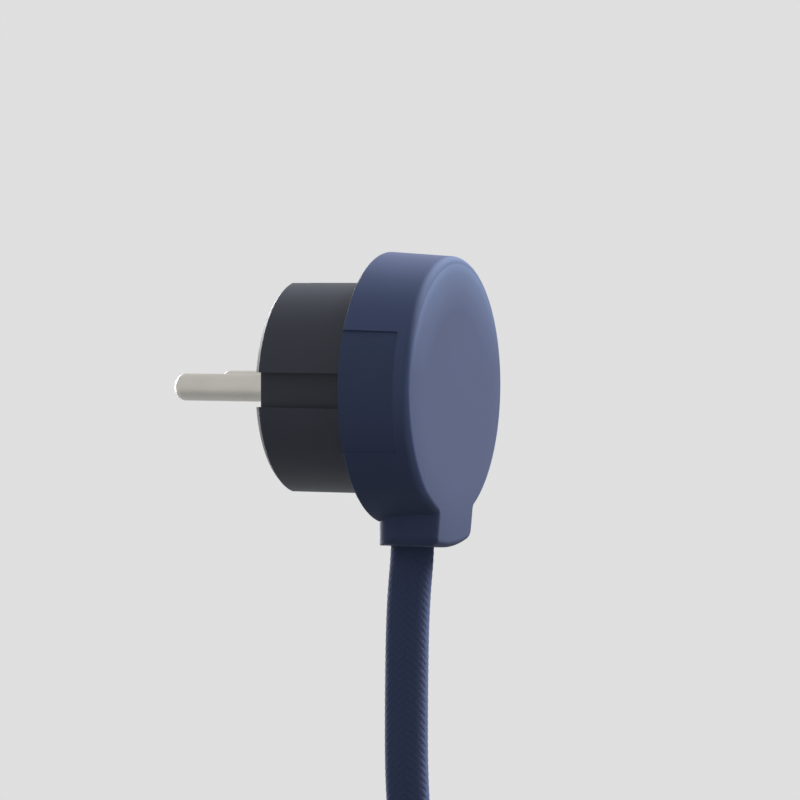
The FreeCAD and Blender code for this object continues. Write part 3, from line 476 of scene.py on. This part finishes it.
class FlatPlugSizes(bpy.types.PropertyGroup):
    """Sizes of the lead, its braid and its coil, and of the stage."""

    lead_radius: length_setting("Lead radius", "Outer radius of the braided lead", 0.0038)
    coil_outer: length_setting("Coil outer radius", "Radius of the coil's outer turn", 0.053)
    coil_inner: length_setting("Coil inner radius", "Radius of the coil's inner turn", 0.0314)
    coil_drop: length_setting(
        "Coil drop", "Depth of the coil's middle below the pins", -(coil_low.z + coil_high.z) / 2
    )
    yarn_pitch: length_setting("Yarn pitch", "Spacing of the braid's ribs along the lead", 0.0013)
    yarn_height: length_setting("Yarn height", "Height of a yarn above the dips beside it", 0.00007)
    yarns: bpy.props.IntProperty(
        name="Yarns", description="Yarns in each of the braid's two families", default=16, min=4
    )
    floor_drop: length_setting(
        "Floor drop", "Depth of the stage's floor below the pins", FLOOR_GAP - cad_box[0].z
    )
    floor_reach: length_setting("Floor reach", "Radius of the stage's floor", 0.9)
    camera_distance: length_setting("Camera distance", "From the camera to the plug", 0.563)
    camera_lens: bpy.props.FloatProperty(
        name="Lens", description="Focal length on a 36 mm sensor", default=145.4, unit="CAMERA"
    )
    camera_turn: angle_setting("Turn", "Angle between the view and the X axis", 21.8)
    camera_tilt: angle_setting("Tilt", "Angle by which the camera looks down", 2.2)


def colours():
    return bpy.context.scene.flat_plug_colours


def sizes():
    return bpy.context.scene.flat_plug_sizes


# Lead


def wind(angles, radii, depths, count):
    """One stretch of the coil: the angle, radius and depth of its points after the first."""
    points = []
    for number in range(1, count + 1):
        share = number / count
        points.append([start + (end - start) * share for start, end in (angles, radii, depths)])
    return points


def coil_points():
    """The lead's way through its coil: inwards at the back, across, and outwards at the front."""
    size = sizes()
    outer, inner = size.coil_outer, size.coil_inner
    back, front = CORD_ROUTE[-1][1], TAIL_ROUTE[0][1]
    inmost = COIL_START - math.tau * COIL_TURNS
    crossed = inmost - math.tau * CROSSING_STEPS / COIL_STEPS
    end = -math.tau * (math.ceil(-crossed / math.tau) + COIL_TURNS - 1)
    steps = round((crossed - end) / math.tau * COIL_STEPS)
    points = wind((COIL_START, inmost), (outer, inner), (back, back), COIL_TURNS * COIL_STEPS)
    points += wind((inmost, crossed), (inner, inner), (back, front), CROSSING_STEPS)
    points += wind((crossed, end), (inner, outer), (front, front), steps)
    return [
        (math.cos(angle) * radius, depth, math.sin(angle) * radius - size.coil_drop)
        for angle, radius, depth in points
    ]


def lead_line():
    """The lead's whole centreline, read from one smooth spline through its route and its coil."""
    corners = CORD_ROUTE + coil_points() + TAIL_ROUTE
    curve = bpy.data.curves.new("lead_line", "CURVE")
    curve.dimensions = "3D"
    curve.resolution_u = 12
    spline = curve.splines.new("NURBS")
    spline.points.add(len(corners) - 1)
    for point, corner in zip(spline.points, corners):
        point.co = (*corner, 1.0)
    spline.order_u = 3
    spline.use_endpoint_u = True
    holder = bpy.data.objects.new("lead_line", curve)
    bpy.context.scene.collection.objects.link(holder)
    bpy.context.view_layer.update()
    read = bpy.data.meshes.new_from_object(holder)
    line = [vertex.co.copy() for vertex in read.vertices]
    bpy.data.objects.remove(holder)
    bpy.data.meshes.remove(read)
    return line


def along(line):
    """Distance of each point from the line's start."""
    reached = [0.0]
    for before, after in zip(line, line[1:]):
        reached.append(reached[-1] + (after - before).length)
    return reached


def stations(line, stretches):
    """Points, directions and distances along a line, each stretch at its own spacing."""
    reached = along(line)
    places = []
    start = 0.0
    for end, spacing in stretches:
        end = min(end, reached[-1])
        count = max(1, round((end - start) / spacing))
        places += [start + (end - start) * number / count for number in range(count)]
        start = end
    places.append(reached[-1])
    found = []
    index = 0
    for place in places:
        while index < len(line) - 2 and reached[index + 1] < place:
            index += 1
        share = (place - reached[index]) / (reached[index + 1] - reached[index])
        point = line[index].lerp(line[index + 1], share)
        before = line[max(index - 1, 0)]
        after = line[min(index + 2, len(line) - 1)]
        found.append((point, (after - before).normalized(), place))
    return found


def yarn_rise(reached, share, pitch, yarns):
    """Height of the braid's yarns, from 0 to 1, at a length and a share of the way round."""
    lean = reached / (pitch * yarns)
    right = yarns * (share + lean)
    left = yarns * (share - lean)
    over = (math.floor(right) + math.floor(left)) % (PAIR * 2) < PAIR
    top, under = (right, left) if over else (left, right)
    hump = math.sqrt(max(0.0, math.sin(math.pi * (top % 1.0))))
    ride = math.sin(math.pi * (under % 1.0))
    return hump * ((1.0 - RIDE) + RIDE * ride)


def keep_mesh(made, name):
    """Turn a finished mesh into an object of the scene."""
    mesh = bpy.data.meshes.new(name)
    made.to_mesh(mesh)
    made.free()
    piece = bpy.data.objects.new(name, mesh)
    bpy.context.scene.collection.objects.link(piece)
    return piece


def lead_skin(name, line):
    """The lead's skin round its line, raised by the yarns, with a map of length and turn."""
    size = sizes()
    made = bmesh.new()
    uv = made.loops.layers.uv.new("lead")
    rings = []
    side = None
    stretches = ((SEEN_LENGTH, SEEN_SPACING), (math.inf, COIL_SPACING))
    for point, direction, reached in stations(line, stretches):
        if side is None:
            side = direction.orthogonal().normalized()
        side = (side - direction * side.dot(direction)).normalized()
        other = direction.cross(side)
        ring = []
        for number in range(RING_SIDES):
            share = number / RING_SIDES
            angle = math.tau * share
            out = side * math.cos(angle) + other * math.sin(angle)
            rise = size.yarn_height * (yarn_rise(reached, share, size.yarn_pitch, size.yarns) - 1.0)
            ring.append(made.verts.new(point + out * (size.lead_radius + rise)))
        rings.append((ring, reached))
    for (near, start), (far, end) in zip(rings, rings[1:]):
        for number in range(RING_SIDES):
            after = (number + 1) % RING_SIDES
            face = made.faces.new((near[number], far[number], far[after], near[after]))
            face.smooth = True
            low, high = number / RING_SIDES, (number + 1) / RING_SIDES
            spots = ((start, low), (end, low), (end, high), (start, high))
            for loop, spot in zip(face.loops, spots):
                loop[uv].uv = spot
    for ring, _ in (rings[0], rings[-1]):
        made.faces.new(ring)
    bmesh.ops.recalc_face_normals(made, faces=made.faces)
    return keep_mesh(made, name)


class FLATPLUG_OT_lead(bpy.types.Operator):
    """Lay the braided lead along its route and through its coil"""

    bl_idname = "flatplug.lead"
    bl_label = "Braided lead"

    def execute(self, context):
        size = sizes()
        line = lead_line()
        lead = lead_skin("braided_lead", line)
        lead.data.materials.append(braid(colours().lead, size.yarn_pitch, size.yarns))
        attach(lead, "root")
        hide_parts("cord", "cord_coil", "cord_tail")
        reached = along(line)
        return {"FINISHED"}


class FLATPLUG_OT_strap(bpy.types.Operator):
    """Finish the strap that holds the coil"""

    bl_idname = "flatplug.strap"
    bl_label = "Coil strap"

    def execute(self, context):
        repaint(["coil_tie"], strap_weave(colours().strap))
        return {"FINISHED"}


# Plug


class FLATPLUG_OT_cover(bpy.types.Operator):
    """Finish the moulded front cover"""

    bl_idname = "flatplug.cover"
    bl_label = "Front cover"

    def execute(self, context):
        tones = colours()
        repaint(["front_cover"], soft_touch(tones.cover, tones.border, tones.edge))
        return {"FINISHED"}


class FLATPLUG_OT_carrier(bpy.types.Operator):
    """Finish the contact carrier, the clamp, the pins, the earth parts and the screws"""

    bl_idname = "flatplug.carrier"
    bl_label = "Carrier and contacts"

    def execute(self, context):
        tones = colours()
        repaint(["rear_insert"], moulded("carrier_plastic", tones.carrier, 0.5))
        repaint(["cord_clamp"], moulded("clamp_plastic", shade(tones.carrier, 1.6), 0.55))
        nickel = metal("nickel_plate", tones.plating, 0.26, DRAWN)
        repaint(["line_pin", "neutral_pin", "earth_strip", "earth_sleeve", "earth_block"], nickel)
        zinc = metal("zinc_plate", tones.zinc, 0.3)
        repaint(["line_screw", "neutral_screw", "earth_screw", "cover_screws", "clamp_screws"], zinc)
        return {"FINISHED"}


class FLATPLUG_OT_wiring(bpy.types.Operator):
    """Finish the sheath, the cores and the ferrules inside the plug"""

    bl_idname = "flatplug.wiring"
    bl_label = "Wiring"

    def execute(self, context):
        tones = colours()
        repaint(["cord_sheath"], moulded("sheath_rubber", tones.sheath, 0.6))
        repaint(["line_core"], moulded("brown_core", tones.line_core, 0.42))
        repaint(["neutral_core"], moulded("blue_core", tones.neutral_core, 0.42))
        repaint(["earth_core"], earth_stripes(tones.earth_green, tones.earth_yellow))
        tin = metal("tin_plate", tones.tin, 0.3)
        repaint(["line_ferrule", "neutral_ferrule", "earth_ferrule"], tin)
        return {"FINISHED"}


class FLATPLUG_OT_connector(bpy.types.Operator):
    """Finish the connector at the lead's far end"""

    bl_idname = "flatplug.connector"
    bl_label = "Connector"

    def execute(self, context):
        tones = colours()
        grained = moulded("connector_grain", tones.connector, 0.55, grain=1800.0, depth=0.00004)
        repaint(["connector_body"], grained)
        repaint(["connector_nose"], moulded("nose_plastic", tones.connector, 0.4))
        contacts = ["connector_line_contact", "connector_neutral_contact", "connector_earth_contact"]
        repaint(contacts, metal("contact_brass", tones.brass, 0.25))
        return {"FINISHED"}


# Stage


def lamp(name, place, aim, width, power):
    """A square soft lamp that faces its aim."""
    light = bpy.data.lights.new(name, "AREA")
    light.shape = "SQUARE"
    light.size = width
    light.energy = power
    holder = bpy.data.objects.new(name, light)
    holder.location = place
    holder.rotation_euler = (Vector(aim) - Vector(place)).to_track_quat("-Z", "Y").to_euler()
    bpy.context.scene.collection.objects.link(holder)


def aim_camera():
    """Place the camera where the photograph was taken from."""
    size = sizes()
    turn, tilt = size.camera_turn, size.camera_tilt
    level = math.cos(tilt)
    forward = Vector((math.cos(turn) * level, math.sin(turn) * level, -math.sin(tilt)))
    right = Vector((math.sin(turn), -math.cos(turn), 0.0))
    up = right.cross(forward)
    aim = COVER_MIDDLE - right * AIM_LEFT - up * AIM_DOWN
    lens = bpy.data.cameras.new("camera")
    lens.lens = size.camera_lens
    lens.sensor_width = SENSOR_WIDTH
    lens.clip_start = 0.01
    lens.clip_end = 60.0
    camera = bpy.data.objects.new("camera", lens)
    camera.location = aim - forward * size.camera_distance
    camera.rotation_euler = Matrix((right, up, -forward)).transposed().to_euler()
    bpy.context.scene.collection.objects.link(camera)
    bpy.context.scene.camera = camera


def floor_paint(tones, reach):
    """Pale paint that fades into the backdrop's tone at the rim, and is clear from below."""
    made = Shader("floor_paint", tones.floor, 0.9, Specular_IOR_Level=0.0)
    shown = made.background_rays()
    made.give("Base Color", made.mix(shown, shade(tones.bounce, 1.0), shade(tones.floor, 1.0)))
    x, y, _ = made.axes()
    out = made.maths("SQRT", x * x + y * y) / reach
    fade = made.ramp(out, (0.30, 0.0), (0.92, 1.0))
    glow = made.node("Emission", inputs={"Color": shade(tones.backdrop, 1.0)})
    paint = made.blend(fade * shown, made.whole(), glow)
    below = made.node("NewGeometry", output="Backfacing")
    seen = made.blend(below, paint, made.node("BsdfTransparent"))
    made.connect(made.tree.nodes["Material Output"].inputs["Surface"], seen)
    return made.material


def lay_floor():
    """A round floor below the part."""
    size = sizes()
    made = bmesh.new()
    bmesh.ops.create_circle(made, cap_ends=True, segments=96, radius=size.floor_reach)
    floor = keep_mesh(made, "floor")
    floor.location = (0.0, FLOOR_MIDDLE, -size.floor_drop)
    floor.data.materials.append(floor_paint(colours(), size.floor_reach))


def make_world():
    """Pale for the camera and in reflections; as a light, weak, and weaker from below."""
    world = bpy.data.worlds.new("studio")
    world.use_nodes = True
    bpy.context.scene.world = world
    made = Nodes(world.node_tree)
    height = made.part(made.node("TexCoord", output="Generated"), 2)
    strength = (height * 0.5 + 0.5) * (LIGHT_ABOVE - LIGHT_BELOW) + LIGHT_BELOW
    sky, backdrop = shade(colours().sky, 1.0), shade(colours().backdrop, 1.0)
    light = made.node("Background", inputs={"Color": sky, "Strength": strength})
    pale = made.node("Background", inputs={"Color": backdrop, "Strength": 1.0})
    seen = made.blend(made.background_rays(), light, pale)
    made.connect(made.tree.nodes["World Output"].inputs["Surface"], seen)


class FLATPLUG_OT_stage(bpy.types.Operator):
    """Set the camera, the pale floor, the world and the lamps"""

    bl_idname = "flatplug.stage"
    bl_label = "Stage"

    def execute(self, context):
        aim_camera()
        lay_floor()
        make_world()
        lamp("key", place=(2.016, -1.24, 2.14), aim=(0.0, -0.02, 0.0), width=1.6, power=171.0)
        lamp("back", place=(1.84, 1.98, 0.20), aim=(0.0, 0.0, -0.05), width=1.2, power=46.0)
        context.scene.view_settings.view_transform = "Standard"
        return {"FINISHED"}


class FLATPLUG_PT_tools(bpy.types.Panel):
    """The flat plug's steps, sizes and colours"""

    bl_label = "Flat plug"
    bl_idname = "FLATPLUG_PT_tools"
    bl_space_type = "VIEW_3D"
    bl_region_type = "UI"
    bl_category = "Flat plug"

    def draw(self, context):
        column = self.layout.column()
        for step in STEPS:
            column.operator(step.bl_idname)
        for group in (context.scene.flat_plug_sizes, context.scene.flat_plug_colours):
            for name in group.bl_rna.properties.keys():
                if name not in {"rna_type", "name"}:
                    column.prop(group, name)


STEPS = (
    FLATPLUG_OT_stage,
    FLATPLUG_OT_lead,
    FLATPLUG_OT_strap,
    FLATPLUG_OT_cover,
    FLATPLUG_OT_carrier,
    FLATPLUG_OT_wiring,
    FLATPLUG_OT_connector,
)
CLASSES = (FlatPlugColours, FlatPlugSizes, *STEPS, FLATPLUG_PT_tools)


def register():
    for kind in CLASSES:
        bpy.utils.register_class(kind)
    bpy.types.Scene.flat_plug_colours = bpy.props.PointerProperty(type=FlatPlugColours)
    bpy.types.Scene.flat_plug_sizes = bpy.props.PointerProperty(type=FlatPlugSizes)


def unregister():
    del bpy.types.Scene.flat_plug_sizes
    del bpy.types.Scene.flat_plug_colours
    for kind in reversed(CLASSES):
        bpy.utils.unregister_class(kind)


def main():
    """Run every step."""
    register()
    bpy.ops.flatplug.stage()
    bpy.ops.flatplug.lead()
    bpy.ops.flatplug.strap()
    bpy.ops.flatplug.cover()
    bpy.ops.flatplug.carrier()
    bpy.ops.flatplug.wiring()
    bpy.ops.flatplug.connector()


if __name__ == "__main__":
    main()
